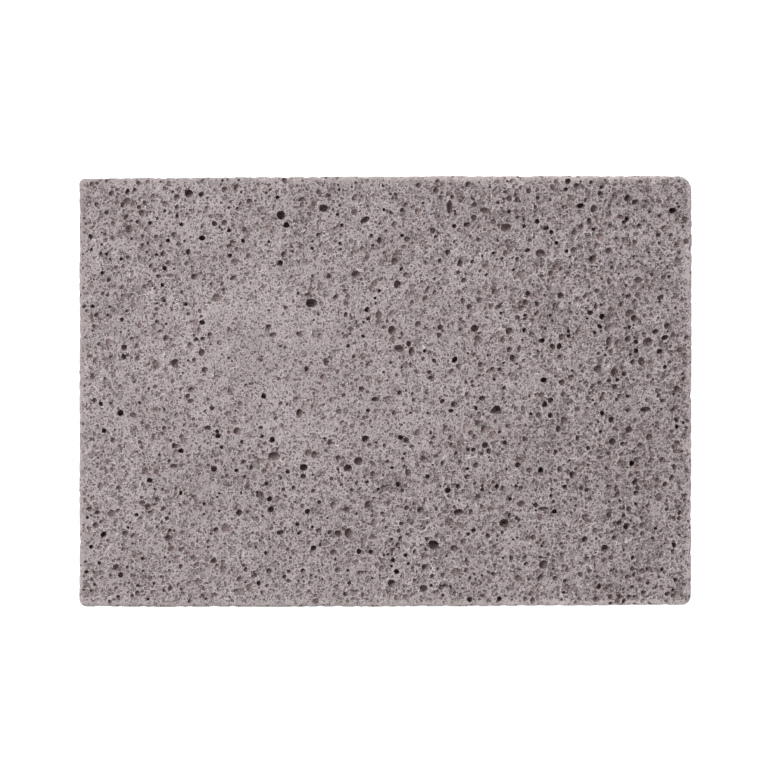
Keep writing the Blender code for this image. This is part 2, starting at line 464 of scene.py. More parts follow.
class BubbleMould:
    """A bubble that is modelled once and copied for each pore of its size class.

    Attributes:
        ring: For each point, its ring, counted from the floor.
        angle: For each point, its direction around the bubble.
        faces: The faces, as rows of points.
    """

    proud: ClassVar[float] = 0.15 * MM
    lumps: ClassVar[tuple] = ((2, 0.04), (3, 0.05), (4, 0.03))
    lump_phase: ClassVar[float] = 6.3
    dent: ClassVar[float] = 0.06

    def __init__(self, mould: Mould) -> None:
        """Models the bubble.

        Args:
            mould: How finely it is modelled.
        """
        self.mould = mould
        bpy.ops.object.select_all(action="DESELECT")
        steps = mould.rings + 1
        bpy.ops.mesh.primitive_uv_sphere_add(segments=mould.sides, ring_count=steps, radius=1.0)
        sphere = bpy.context.active_object
        points = np.array([vertex.co for vertex in sphere.data.vertices])
        polar = np.arccos(np.clip(-points[:, 2], -1, 1))
        self.ring = np.rint(polar / (math.pi / steps)).astype(int)
        self.angle = np.arctan2(points[:, 1], points[:, 0])
        self.faces = [tuple(polygon.vertices) for polygon in sphere.data.polygons]
        bpy.data.meshes.remove(sphere.data)

    def cast(self, pores: list[Pore], noise: np.random.Generator, sheet_side: float) -> "Casting":
        """Casts a bubble for each pore.

        Args:
            pores: The pores, all of this mould.
            noise: The source of their lumps.
            sheet_side: The side of the flat sheet.

        Returns:
            The bubbles, as arrays of points and faces with their places on both UV maps.
        """
        count, rings = len(pores), self.mould.rings
        frames = np.array([[tuple(axis) for axis in pore.frame()] for pore in pores])
        half_length, half_width, half_depth, undercut, size, tone, turn = np.array(
            [
                (p.half_length, p.half_width, p.half_depth, p.undercut, p.size, p.tone,
                 p.turn + p.face.sheet_turn)
                for p in pores
            ]
        ).T[:, :, None]
        lean = np.array([pore.lean for pore in pores])
        middle_on_sheet = np.array([pore.face.on_sheet(pore.along, pore.across) for pore in pores])

        lump = 1 + sum(
            noise.normal(0, spread, (count, 1))
            * np.cos(times * self.angle + noise.uniform(0, self.lump_phase, (count, 1)))
            for times, spread in self.lumps
        )
        outline = np.stack(
            (half_length * np.cos(self.angle) * lump, half_width * np.sin(self.angle) * lump), axis=2
        )

        def below(ring: np.ndarray) -> tuple[np.ndarray, np.ndarray]:
            """The share of the outline and the height at a ring of the wall."""
            polar = np.arccos(-undercut) * ring / rings
            share = np.sin(polar) / np.sqrt(1 - undercut**2)
            return share, -half_depth * (undercut + np.cos(polar))

        wall = np.minimum(self.ring, rings - 1)[None, :]
        share, height = below(wall)
        dent = 1 + noise.normal(0, self.dent, share.shape)
        column = wall * self.mould.sides + np.rint(self.angle / math.tau * self.mould.sides).astype(int)
        share = share * np.take_along_axis(dent, column % dent.shape[1], axis=1)
        places = outline * share[:, :, None] - lean[:, None, :] * height[:, :, None]

        rim = self.ring == rings
        top = self.ring > rings
        places = np.where(rim[:, None], outline, places)
        fall = np.where(rim, 0.0, height)
        places[:, top] = 0.0
        fall[:, top] = self.proud

        first, second, normal, middle = (frames[:, None, row, :] for row in range(4))
        points = middle + first * places[:, :, :1] + second * places[:, :, 1:] + normal * fall[:, :, None]

        fraction = np.where(rim, 1.0, wall / rings)
        fraction = np.where(top, 0.0, fraction)
        cosine, sine = np.cos(turn), np.sin(turn)
        flat = outline * fraction[:, :, None]
        turned = np.stack(
            (flat[:, :, 0] * cosine - flat[:, :, 1] * sine, flat[:, :, 0] * sine + flat[:, :, 1] * cosine),
            axis=2,
        )
        sheet = (middle_on_sheet[:, None, :] + turned) / sheet_side
        # The Pore map: the depth below the face and the painted floor shade
        deep = np.stack((-fall / (2 * size), np.broadcast_to(tone, fall.shape)), axis=2)
        return Casting(points, self.faces, sheet, deep)


@dataclass
class Casting:
    """Bubbles cast from one mould: points, faces and both UV places, bubble by bubble."""

    points: np.ndarray
    faces: list[tuple[int, ...]]
    sheet: np.ndarray
    deep: np.ndarray


def cutter_from(castings: list[Casting], name: str) -> bpy.types.Object:
    """Joins castings in one mesh that cuts all their pores at once.

    Args:
        castings: The bubbles, by mould.
        name: The name of the new object.

    Returns:
        The cutter.
    """
    points, faces, sheet, deep = [], [], [], []
    start = 0
    for casting in castings:
        count, each = casting.points.shape[:2]
        points.append(casting.points.reshape(-1, 3))
        sheet.append(casting.sheet.reshape(-1, 2))
        deep.append(casting.deep.reshape(-1, 2))
        for number in range(count):
            base = start + number * each
            faces.extend(tuple(base + point for point in face) for face in casting.faces)
        start += count * each
    mesh = bpy.data.meshes.new(name)
    mesh.from_pydata(np.concatenate(points).tolist(), [], faces)
    corners = np.empty(len(mesh.loops), np.int32)
    mesh.loops.foreach_get("vertex_index", corners)
    for label, values in ((SHEET_MAP, sheet), (PORE_MAP, deep)):
        layer = mesh.uv_layers.new(name=label)
        layer.uv.foreach_set("vector", np.concatenate(values)[corners].astype(np.float32).ravel())
    mesh.polygons.foreach_set("material_index", np.ones(len(mesh.polygons), np.int32))
    cutter = bpy.data.objects.new(name, mesh)
    bpy.context.scene.collection.objects.link(cutter)
    return cutter


@dataclass(frozen=True)
class Patch:
    """A round patch of the upper face where pores are denser or sparser than elsewhere."""

    x: float
    y: float
    reach: float
    more: float

    def at(self, x: float, y: float) -> float:
        """How much the patch adds to the density of pores at a point."""
        apart = math.dist((x, y), (self.x, self.y)) / self.reach
        return self.more * math.exp(-apart * apart)


@dataclass(frozen=True)
class SizeClass:
    """Pores of one range of radii, with their numbers on each kind of face."""

    largest: float
    smallest: float
    upper: int
    under: int
    long_side: int
    end: int

    def count(self, side: Side) -> int:
        """The number of pores of this class on a face."""
        if side is Side.TOP:
            return self.upper
        if side is Side.BOTTOM:
            return self.under
        return self.long_side if side in (Side.FRONT, Side.BACK) else self.end


@dataclass
class PoreField:
    """All pores of the stone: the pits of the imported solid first, then ever smaller ones."""

    block: SawnBlock
    pit_seed: int = 41
    pit_gap: float = 0.2 * MM
    pit_margin: float = 0.9 * MM
    pit_stretch: float = 0.28
    pit_tries: int = 400
    rest_clear: float = 4.0 * MM
    sparse_side: float = 0.45
    seed: int = 12
    margin: float = 0.3 * MM
    wells: float = 0.06
    nick_pitch: float = 2.6 * MM
    tries: int = 60
    close_share: float = 0.22
    close_apart: float = 0.55
    usual_apart: float = 1.05
    bubble_share: float = 0.20
    hollow_share: float = 0.58
    upper_density: float = 0.65
    other_density: float = 0.62
    density_swing: float = 0.14

    # The photo's pixels: the middle of the stone and the size of a pixel
    middle_column: float = 385.2
    middle_row: float = 391.0
    pixel_mm: float = 0.1633

    # Ranges of the nicks on the rims and of the scallops below the upper ones, in mm
    nick_across: tuple[float, float] = (-0.3, 0.3)
    nick_radius: tuple[float, float] = (0.20, 0.36)
    scallop_below: tuple[float, float] = (0.7, 1.1)
    scallop_half_length: tuple[float, float] = (0.9, 1.5)
    scallop_half_width: tuple[float, float] = (0.45, 1.0)

    # Ranges of what the solid's pits look like: the rise of a bowl's middle, undercuts, stretch and the
    # upper pits' share of painted floor shade
    bowl_rise: tuple[float, float] = (0.06, 0.5)
    cone_undercut: tuple[float, float] = (-0.6, 0.3)
    upper_undercut: tuple[float, float] = (-0.85, -0.4)
    pit_depth: tuple[float, float] = (0.85, 1.3)
    upper_floor_shade: float = 0.45

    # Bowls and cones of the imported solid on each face
    pit_counts: ClassVar[dict[Side, tuple[int, int]]] = {
        Side.TOP: (50, 180),
        Side.BOTTOM: (24, 70),
        Side.FRONT: (14, 38),
        Side.RIGHT: (9, 26),
        Side.BACK: (14, 38),
        Side.LEFT: (9, 26),
    }
    bowl_radii: ClassVar[tuple[float, float]] = (0.88 * MM, 0.72 * MM)
    cone_radii: ClassVar[tuple[float, float]] = (0.72 * MM, 0.50 * MM)

    # The largest pores of the upper face: place from its middle, half length, half width
    # (all in mm), turn in degrees, and how shallow each is, from 0 (deep) to 1 (a dish)
    landmarks: ClassVar[tuple] = (
        (-17.05, 28.63, 0.77, 0.70, 80, 0.0),
        (-10.08, 29.71, 0.72, 0.66, 0, 0.2),
        (-32.02, 32.14, 0.72, 0.68, 0, 0.3),
        (-12.05, 14.35, 1.01, 0.73, 5, 0.2),
        (-18.19, -10.55, 1.01, 0.73, -10, 0.5),
        (-13.34, -12.38, 0.69, 0.58, 0, 0.1),
        (-6.16, -12.48, 0.72, 0.60, 0, 0.1),
        (-3.25, -7.74, 0.66, 0.58, 0, 0.1),
        (18.03, -3.10, 0.98, 0.73, 10, 0.3),
        (7.81, -24.98, 0.88, 0.82, 0, 0.2),
        (35.73, -25.54, 0.62, 0.60, 0, 0.2),
        (0.98, -31.19, 0.66, 0.64, 0, 0.2),
        (6.22, -32.06, 0.70, 0.60, 0, 0.3),
        (14.52, 10.21, 0.68, 0.60, 0, 0.1),
        (20.14, 9.80, 0.66, 0.60, 60, 0.4),
        (19.64, 26.63, 0.82, 0.74, 0, 0.7),
        (25.21, 22.42, 0.82, 0.70, 0, 0.6),
        (33.80, 21.47, 0.70, 0.68, 0, 0.6),
        (33.97, 29.66, 0.70, 0.58, 90, 0.5),
        (39.52, 31.39, 0.62, 0.60, 0, 0.3),
        (42.69, 7.99, 0.82, 0.78, 0, 0.6),
        (34.63, 3.61, 0.70, 0.68, 0, 0.6),
        (37.36, 3.07, 0.82, 0.70, 90, 0.6),
        (42.38, -2.96, 0.90, 0.46, 5, 0.5),
        (-4.87, 18.98, 0.72, 0.66, 0, 0.5),
        (1.94, 17.37, 0.70, 0.60, 90, 0.3),
        (1.08, 9.90, 0.82, 0.66, 90, 0.6),
        (2.22, 6.94, 0.90, 0.58, -20, 0.6),
        (-34.26, 4.51, 0.79, 0.70, 90, 0.5),
        (-35.41, -23.94, 0.70, 0.58, 0, 0.6),
        (-4.44, -11.33, 0.76, 0.66, 0, 0.5),
        (-6.01, -23.11, 0.86, 0.70, 90, 0.5),
        (19.32, -21.47, 0.82, 0.74, 0, 0.4),
        (22.14, -18.35, 0.68, 0.60, 0, 0.6),
        (11.94, -19.66, 0.86, 0.56, 0, 0.4),
        (25.72, -28.17, 0.74, 0.72, 0, 0.7),
        (10.46, 29.92, 1.16, 0.50, 88, 0.5),
        (-20.46, -16.82, 0.70, 0.60, 0, 0.5),
        (30.57, -13.62, 0.66, 0.58, 90, 0.4),
        (-3.35, 27.83, 0.88, 0.48, 25, 0.5),
    )

    # Smaller pores of the upper face that read as black dots: place and radius in mm
    black_dots: ClassVar[tuple] = (
        (-27.94, -12.62, 0.55),
        (-29.98, 32.04, 0.49),
        (-45.98, -23.37, 0.52),
        (-42.61, 7.09, 0.54),
        (-43.24, -3.51, 0.55),
        (-46.40, -2.07, 0.41),
        (-45.86, -6.43, 0.44),
        (-43.0, 11.68, 0.37),
        (-36.32, 17.31, 0.39),
        (-33.32, -9.67, 0.46),
        (-29.9, 11.2, 0.47),
        (-28.32, -2.74, 0.41),
        (-27.45, -6.55, 0.39),
        (-25.4, 22.0, 0.42),
        (-25.51, 26.13, 0.37),
        (-19.81, -0.77, 0.47),
        (-18.9, -17.5, 0.46),
        (-12.72, -19.51, 0.47),
        (-11.94, 23.21, 0.30),
        (-7.77, 28.72, 0.36),
        (-2.87, -3.1, 0.38),
        (-2.82, 11.77, 0.38),
        (-2.94, 13.26, 0.50),
        (-3.63, 8.92, 0.34),
        (2.74, 25.29, 0.36),
        (3.79, 7.77, 0.46),
        (2.12, -15.09, 0.48),
        (-2.99, -14.78, 0.36),
        (11.27, 5.14, 0.52),
        (14.74, -2.71, 0.38),
        (10.68, -3.18, 0.42),
        (11.87, -15.46, 0.45),
        (18.18, -15.46, 0.41),
        (10.16, -16.07, 0.52),
        (25.31, -12.79, 0.50),
        (27.52, -19.56, 0.43),
        (25.44, 8.21, 0.50),
        (25.78, 1.85, 0.50),
        (22.63, 9.9, 0.41),
        (17.72, 1.94, 0.31),
        (23.27, 15.86, 0.52),
        (27.03, 25.85, 0.41),
        (29.49, 22.78, 0.36),
        (24.68, 27.56, 0.46),
        (29.87, 9.72, 0.38),
        (29.87, 8.94, 0.38),
        (33.90, 26.32, 0.36),
        (34.87, 10.57, 0.43),
        (39.34, 28.11, 0.42),
        (39.24, -21.95, 0.54),
        (40.78, 6.58, 0.46),
        (40.81, 8.04, 0.41),
        (39.49, -0.82, 0.36),
        (44.63, 6.47, 0.49),
        (47.32, -30.78, 0.45),
        (34.74, -31.79, 0.47),
        (1.81, -29.29, 0.46),
        (-4.34, -26.01, 0.46),
        (-2.32, -26.13, 0.46),
        (-20.64, -31.19, 0.44),
    )

    # Other clear pores of the upper face, read in the photo's pixels: place, half length
    # and half width, then the turn in degrees
    clear_pores: ClassVar[dict[PoreKind, tuple]] = {
        PoreKind.WELL: (
            (150.2, 223.5, 2.3, 2.3, 0), (167.8, 241, 2.3, 2.3, 0), (102.7, 272.9, 2.3, 2.3, 0),
            (671.6, 210.7, 4, 3.3, 0), (272.1, 439.4, 3.2, 3.2, 0), (270.4, 508.6, 3.4, 3.4, 0),
        ),
        PoreKind.BOWL: (
            (127.6, 201.8, 4, 4, 0), (142.3, 213.3, 3.5, 3.5, 0), (223.9, 223.4, 3, 3, 0),
            (129.5, 230.2, 5, 3.5, 90), (155.9, 237.6, 2.8, 2.8, 0), (158.9, 276.7, 3.2, 2.2, 0),
            (233.5, 278.6, 4, 2.5, 30), (393.7, 225.3, 3.6, 2.6, 90), (378.8, 241.3, 4.4, 2.6, 90),
            (361.8, 249.7, 3, 3, 0), (394.6, 262, 4, 4, 0), (308, 294.6, 4, 2.4, 0),
            (344.6, 291.1, 3, 2.2, 0), (426.9, 289.8, 4.5, 1.8, 60), (435.2, 191.3, 3.2, 3.2, 0),
            (484.1, 210.7, 5, 3, 0), (466.5, 225.6, 4, 3, 0), (573.1, 250.9, 3.7, 3.7, 0),
            (684, 219.3, 3.5, 3, 90), (637.7, 280.2, 3.6, 3.6, 0), (636.8, 293.9, 3.8, 3.8, 0),
            (608.5, 281.5, 3.7, 2.7, 90), (565, 274.8, 4, 2.8, 0), (467.8, 185.4, 3, 3, 0),
            (509, 199.2, 3.3, 3.3, 0), (516.6, 200.6, 3, 3, 0), (463.6, 280.9, 2.9, 2.9, 0),
            (273.4, 335.5, 4, 3.2, 0), (378.4, 315.3, 4.5, 3.3, 90), (417.9, 324, 3.8, 3.3, 90),
            (411.6, 351.7, 5, 3.5, 90), (364.4, 357, 5, 2.8, 0), (325.7, 361.6, 4.2, 3, 90),
            (299.3, 412.9, 4.8, 3.6, 90), (329.3, 441.6, 3.4, 2.6, 90), (338.5, 411, 3, 3, 0),
            (375.2, 398.9, 4.5, 2.6, 0), (477.9, 339.2, 4.2, 3.6, 0), (516.6, 317.5, 3, 3, 0),
            (561.1, 337.3, 3.4, 3.4, 0), (519, 348.8, 3.9, 2.1, 90), (560, 357.1, 3.3, 3.3, 0),
            (458.6, 366, 3.6, 2.6, 0), (540.5, 394.7, 3.8, 3, 0), (454, 403.8, 3.4, 3.4, 0),
            (522.4, 408.8, 3.6, 2.4, 90), (537.7, 414.8, 3, 3, 0), (477.2, 422.2, 3.4, 3.4, 0),
            (507.5, 425.8, 3.2, 2.6, 0), (595.4, 306.2, 3.4, 2.2, 90), (609.7, 309.3, 3.2, 2.6, 90),
            (605.4, 328.7, 3.2, 2.6, 90), (608.3, 341.1, 4.5, 3.5, 90), (627.3, 339.2, 3.6, 3.6, 0),
            (666.5, 325.8, 3.4, 3.4, 0), (640.6, 361.2, 4.4, 3.6, 90), (631.7, 362, 3.4, 2.8, 90),
            (614.3, 386.6, 3.2, 3.2, 0), (601.1, 398.5, 3.4, 2.9, 90), (657.3, 390.4, 3.1, 3.1, 0),
            (676.2, 389.4, 3.6, 3.6, 0), (675.3, 407.1, 3.6, 2.6, 0), (639.4, 444.9, 3.2, 3.2, 0),
            (155, 363.1, 3.6, 3, 90), (165.9, 337.9, 3.2, 3.2, 0), (201.3, 352.7, 4, 3.3, 90),
            (229.6, 330.4, 3, 2.7, 0), (93.4, 376.5, 4, 2.9, 90), (90, 356.1, 3, 2.4, 0),
            (237.3, 430.7, 3.9, 3.9, 0), (191.1, 401.1, 3.7, 2.6, 0), (175.2, 445.7, 3.8, 3, 0),
            (173.9, 465.9, 4, 2.8, 0), (145.2, 470.4, 3.9, 3.9, 0), (116.1, 566.5, 3.5, 3.5, 0),
            (125.4, 532.9, 3.5, 3, 0), (96.4, 524.2, 3.4, 3.4, 0), (213.7, 559.9, 3.2, 3.2, 0),
            (138.1, 592.2, 2.9, 2.9, 0), (314, 454, 3.8, 3.3, 90), (337.8, 457.2, 3.3, 2.8, 0),
            (383.1, 486.3, 3.2, 2.5, 0), (407.7, 472.1, 4, 3.3, 90), (367.6, 503.4, 4.2, 3.6, 90),
            (346.3, 508.6, 4.1, 2.7, 0), (419.8, 508.9, 3.8, 3.2, 0), (318.7, 530.2, 3, 3, 0),
            (423.3, 555.4, 3.8, 2.7, 90), (337.2, 569.1, 3.4, 3, 0), (528.4, 469.6, 3.6, 2.6, 0),
            (543.1, 508, 5, 2.3, 0), (470.4, 511.4, 3.8, 2.5, 90), (532.5, 536.6, 3.4, 2.7, 90),
            (453.8, 547.4, 4.2, 3.2, 0), (517.3, 577.4, 4, 3.4, 0), (615.2, 488.4, 3.7, 2.1, 90),
            (635.4, 492.9, 3, 3, 0), (641.8, 532.9, 3, 3, 0), (641.3, 570.2, 3, 3, 0),
            (532, 599.4, 3, 3, 0), (610.1, 596, 3, 3, 0),
        ),
        PoreKind.DISH: (
            (170.7, 275.8, 4.5, 2.2, 0), (260.4, 288.6, 4.3, 3, 0), (371, 289.5, 3.2, 3.2, 0),
            (392.4, 340.6, 4.5, 3.5, 0), (332.1, 400.1, 3.6, 3.6, 0), (484.6, 327.1, 3.6, 3.6, 0),
            (467.8, 394.7, 3.8, 3.8, 0), (492.2, 434.4, 4.6, 4.6, 0), (616.4, 344, 4.4, 3.8, 90),
            (217.1, 377.8, 4.2, 2.8, 0), (171.6, 548.4, 4, 4, 0), (502.3, 508.2, 4, 4, 0),
        ),
    }

    # Where the upper face has more pores than its mean, or fewer
    patches: ClassVar[tuple[Patch, ...]] = (
        Patch(0.044, 0.010, 0.022, 0.70),
        Patch(0.044, -0.024, 0.018, 0.45),
        Patch(0.044, 0.030, 0.014, 0.35),
        Patch(0.008, -0.026, 0.012, 0.50),
        Patch(-0.020, 0.009, 0.014, -0.50),
        Patch(-0.040, -0.010, 0.018, -0.15),
        Patch(-0.036, 0.028, 0.012, 0.15),
    )

    # Pores that the solid leaves out, from the larger to the smaller
    classes: ClassVar[tuple[SizeClass, ...]] = (
        SizeClass(0.60 * MM, 0.46 * MM, 260, 220, 80, 55),
        SizeClass(0.46 * MM, 0.36 * MM, 700, 270, 120, 85),
        SizeClass(0.36 * MM, 0.22 * MM, 1330, 330, 180, 120),
    )

    def density(self, face: Face, along: float, across: float) -> float:
        """How likely a pore is to be kept at a point of a face, from 0 to 1 and over."""
        if face.side is Side.TOP:
            return self.upper_density + sum(patch.at(along, across) for patch in self.patches)
        phase = list(Side).index(face.side)
        slow = math.sin(along / (9 * MM) + phase) + math.sin(across / (7 * MM) + 2.1 * phase)
        slow += math.sin((along + 1.7 * across) / (12 * MM) + 4.0 * phase)
        return self.other_density + self.density_swing * slow

    def all_pores(self) -> list[Pore]:
        """Every pore of the stone.

        Returns:
            The pores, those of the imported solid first.
        """
        rng = random.Random(self.seed)
        faces = self.block.faces()
        pores = list(self._solid_pits(faces, rng))
        crowd = {side: Crowd() for side in faces}
        for pore in pores:
            crowd[pore.face.side].add(pore)
        for x, y, radius in self.black_dots:
            pore = self._pore(faces[Side.TOP], x * MM, y * MM, radius * MM, rng, PoreKind.WELL)
            pores.append(pore)
            crowd[Side.TOP].add(pore)
        for pore in self._clear(faces[Side.TOP], rng):
            if crowd[Side.TOP].room_for(pore.along, pore.across, pore.size, self.close_apart):
                pores.append(pore)
                crowd[Side.TOP].add(pore)
        for rim in self.block.rims():
            pores.extend(self._nicks(rim, rng))
        for side in (Side.FRONT, Side.RIGHT, Side.BACK, Side.LEFT):
            pores.extend(self._scallops(faces[side], rng))
        for size_class in self.classes:
            for side, face in faces.items():
                pores.extend(self._scatter(face, size_class, crowd[side], rng))
        return pores

    def _pore(
        self,
        face: Face,
        along: float,
        across: float,
        radius: float,
        rng: random.Random,
        kind: PoreKind,
    ) -> Pore:
        """A pore with a random turn, length and lean.

        Args:
            face: The face that it opens on.
            along: Its place along the face.
            across: Its place across the face.
            radius: The mean radius of its opening.
            rng: The source of its random values.
            kind: Its form.

        Returns:
            The pore.
        """
        longer = math.sqrt(1 + 0.45 * rng.random() ** 2)
        lean_way, lean = rng.uniform(0, math.tau), 0.45 * rng.random()
        return Pore(
            face,
            along,
            across,
            radius * longer,
            radius / longer,
            rng.uniform(0, math.pi),
            kind,
            kind.undercut(rng),
            kind.stretch(rng),
            (lean * math.cos(lean_way), lean * math.sin(lean_way)),
            rng.random(),
        )

    def _clear(self, face: Face, rng: random.Random) -> Iterator[Pore]:
        """The clear pores that the solid leaves out, each with its own turn."""
        for kind, readings in self.clear_pores.items():
            for reading in readings:
                x, y, half_length, half_width, turn = self._in_mm(*reading)
                radius = math.sqrt(half_length * half_width) * MM
                pore = self._pore(face, x * MM, y * MM, radius, rng, kind)
                yield replace(
                    pore,
                    half_length=half_length * MM,
                    half_width=half_width * MM,
                    turn=math.radians(turn),
                    # Dishes get the palest painted floor shade, the other clear pores the darkest
                    tone=0.0 if kind is PoreKind.DISH else 1.0,
                )

    def _in_mm(
        self, column: float, row: float, half_length: float, half_width: float, turn: float
    ) -> tuple[float, float, float, float, float]:
        """A reading in the photo's pixels turned into mm, with no more digits than an eye can read.

        Args:
            column: The pore's place to the right in the photo.
            row: Its place downwards.
            half_length: Half its length.
            half_width: Half its width.
            turn: Its turn in degrees.

        Returns:
            X and Y from the middle of the upper face, half the length, half the width and the turn.
        """
        x = (column - self.middle_column) * self.pixel_mm
        y = (self.middle_row - row) * self.pixel_mm
        sizes = round(half_length * self.pixel_mm, 2), round(half_width * self.pixel_mm, 2)
        return round(x, 1), round(y, 1), *sizes, turn

    def _nicks(self, rim: Face, rng: random.Random) -> Iterator[Pore]:
        """The small bubbles that open on a rubbed edge.

        Args:
            rim: The edge as a narrow face.
            rng: The source of their random values.

        Yields:
            The nicks, from one end of the edge to the other.
        """
        steps = round(2 * rim.half_along / self.nick_pitch)
        for step in range(1, steps):
            along = (step + rng.uniform(-0.5, 0.5)) * self.nick_pitch - rim.half_along
            across = rng.uniform(*self.nick_across) * MM
            radius = rng.uniform(*self.nick_radius) * MM
            yield self._pore(rim, along, across, radius, rng, PoreKind.DISH)

    def _scallops(self, face: Face, rng: random.Random) -> Iterator[Pore]:
        """The shallow bites that roughen the outline, on a side just below its upper rim.

        Args:
            face: The side.
            rng: The source of their random values.

        Yields:
            The scallops, from one end of the side to the other.
        """
        steps = round(2 * face.half_along / self.nick_pitch)
        for step in range(1, steps):
            along = (step + rng.uniform(-0.5, 0.5)) * self.nick_pitch - face.half_along
            across = face.half_across - rng.uniform(*self.scallop_below) * MM
            pore = self._pore(face, along, across, 0.5 * MM, rng, PoreKind.DISH)
            yield replace(
                pore,
                half_length=rng.uniform(*self.scallop_half_length) * MM,
                half_width=rng.uniform(*self.scallop_half_width) * MM,
                turn=math.pi / 2 + rng.uniform(-0.4, 0.4),
                undercut=-0.8,
                stretch=rng.uniform(0.4, 0.8),
                lean=(0.0, 0.0),
                tone=0.0,
            )

    def _kind(self, rng: random.Random) -> PoreKind:
        """A random form, drawn by the shares of wells, bubbles, bowls and dishes."""
        draw = rng.random()
        if draw < self.wells:
            return PoreKind.WELL
        if draw < self.wells + self.bubble_share:
            return PoreKind.BUBBLE
        return PoreKind.BOWL if draw < self.wells + self.hollow_share else PoreKind.DISH

    def _scatter(
        self, face: Face, size_class: SizeClass, crowd: "Crowd", rng: random.Random
    ) -> Iterator[Pore]:
        """Scatters one class of pores over a face, from the largest to the smallest.

        Args:
            face: The face.
            size_class: The class.
            crowd: The pores that the face already has.
            rng: The source of the random values.

        Yields:
            The new pores.
        """
        count = size_class.count(face.side)
        for number in range(count):
            share = math.sqrt(number / count)
            radius = size_class.largest + (size_class.smallest - size_class.largest) * share
            for _ in range(self.tries):
                room_along = face.half_along - radius - self.margin
                room_across = face.half_across - radius - self.margin
                along = rng.uniform(-room_along, room_along)
                across = rng.uniform(-room_across, room_across)
                if rng.random() > self.density(face, along, across):
                    continue
                apart = self.close_apart if rng.random() < self.close_share else self.usual_apart
                if crowd.room_for(along, across, radius, apart):
                    pore = self._pore(face, along, across, radius, rng, self._kind(rng))
                    crowd.add(pore)
                    yield pore
                    break

    def _solid_pits(self, faces: dict[Side, Face], dress: random.Random) -> Iterator[Pore]:
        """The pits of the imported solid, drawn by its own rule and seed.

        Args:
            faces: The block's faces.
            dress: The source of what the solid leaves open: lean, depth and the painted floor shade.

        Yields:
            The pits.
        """
        rng = random.Random(self.pit_seed)
        for side, face in faces.items():
            placed: list[tuple[float, float, float]] = []
            if side is Side.TOP:
                for along, across, half_length, half_width, turn, shallow in self.landmarks:
                    spot = (along * MM, across * MM, half_length * MM)
                    placed.append(spot)
                    undercut = 0.45 - 0.75 * shallow
                    stretch = 1.5 - 0.5 * shallow
                    yield self._pit(
                        face, spot, half_width * MM, math.radians(turn), undercut, stretch, dress
                    )
            bowls, cones = self.pit_counts[side]
            bowls -= len(placed)
            sizes = [(self.bowl_radii, number, bowls, True) for number in range(bowls)]
            sizes += [(self.cone_radii, number, cones, False) for number in range(cones)]
            for (largest, smallest), number, count, bowl in sizes:
                share = math.sqrt(number / max(1, count - 1))
                radius = largest + (smallest - largest) * share
                for _ in range(self.pit_tries):
                    stretch = 1 + self.pit_stretch * rng.random()
                    half_length = radius * math.sqrt(stretch)
                    room_along = face.half_along - half_length - self.pit_margin
                    room_across = face.half_across - half_length - self.pit_margin
                    along = rng.uniform(-room_along, room_along)
                    across = rng.uniform(-room_across, room_across)
                    turn = rng.uniform(0, math.pi)
                    rise = rng.uniform(*self.bowl_rise) if bowl else 0.0
                    right_hand = 0.5 + 0.5 * along / face.half_along
                    sparse = side is Side.TOP and rng.random() > self.sparse_side + right_hand
                    on_rest = side is Side.BOTTOM and math.hypot(along, across) < self.rest_clear
                    close = any(
                        math.hypot(along - x, across - y) < half_length + other + self.pit_gap
                        for x, y, other in placed
                    )
                    if sparse or on_rest or close:
                        continue
                    spot = (along, across, half_length)
                    placed.append(spot)
                    undercut = 0.35 - 1.4 * rise if bowl else dress.uniform(*self.cone_undercut)
                    pit = self._pit(
                        face, spot, radius / math.sqrt(stretch), turn, undercut,
                        dress.uniform(*self.pit_depth), dress,
                    )
                    if side is Side.TOP:
                        # The upper pits are shallower and keep less of the painted floor shade
                        shallow = dress.uniform(*self.upper_undercut)
                        pit = replace(pit, undercut=shallow, tone=self.upper_floor_shade * pit.tone)
                    yield pit
                    break

    @staticmethod
    def _pit(
        face: Face,
        spot: tuple[float, float, float],
        half_width: float,
        turn: float,
        undercut: float,
        stretch: float,
        dress: random.Random,
    ) -> Pore:
        """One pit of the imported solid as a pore."""
        way, lean = dress.uniform(0, math.tau), 0.4 * dress.random()
        along, across, half_length = spot
        return Pore(
            face,
            along,
            across,
            half_length,
            half_width,
            turn,
            PoreKind.BOWL,
            undercut,
            stretch,
            (lean * math.cos(way), lean * math.sin(way)),
            dress.random(),
        )


class Crowd:
    """The pores that a face already has, sorted into tiles so that neighbours are found fast."""

    tile: ClassVar[float] = 2.5 * MM

    def __init__(self) -> None:
        """Starts with a face without pores."""
        self.tiles: dict[tuple[int, int], list[tuple[float, float, float]]] = {}

    def add(self, pore: Pore) -> None:
        """Adds a pore."""
        key = (int(pore.along // self.tile), int(pore.across // self.tile))
        self.tiles.setdefault(key, []).append((pore.along, pore.across, pore.half_length))

    def room_for(self, along: float, across: float, radius: float, apart: float) -> bool:
        """Whether a new pore keeps its distance from those around it.

        Args:
            along: Its place along the face.
            across: Its place across the face.
            radius: Its radius.
            apart: The least distance, in parts of the two radii together.

        Returns:
            True where it has room.
        """
        column, row = int(along // self.tile), int(across // self.tile)
        for x in (column - 1, column, column + 1):
            for y in (row - 1, row, row + 1):
                for other_along, other_across, other in self.tiles.get((x, y), ()):
                    distance = math.hypot(along - other_along, across - other_across)
                    if distance < apart * (radius + other):
                        return False
        return True


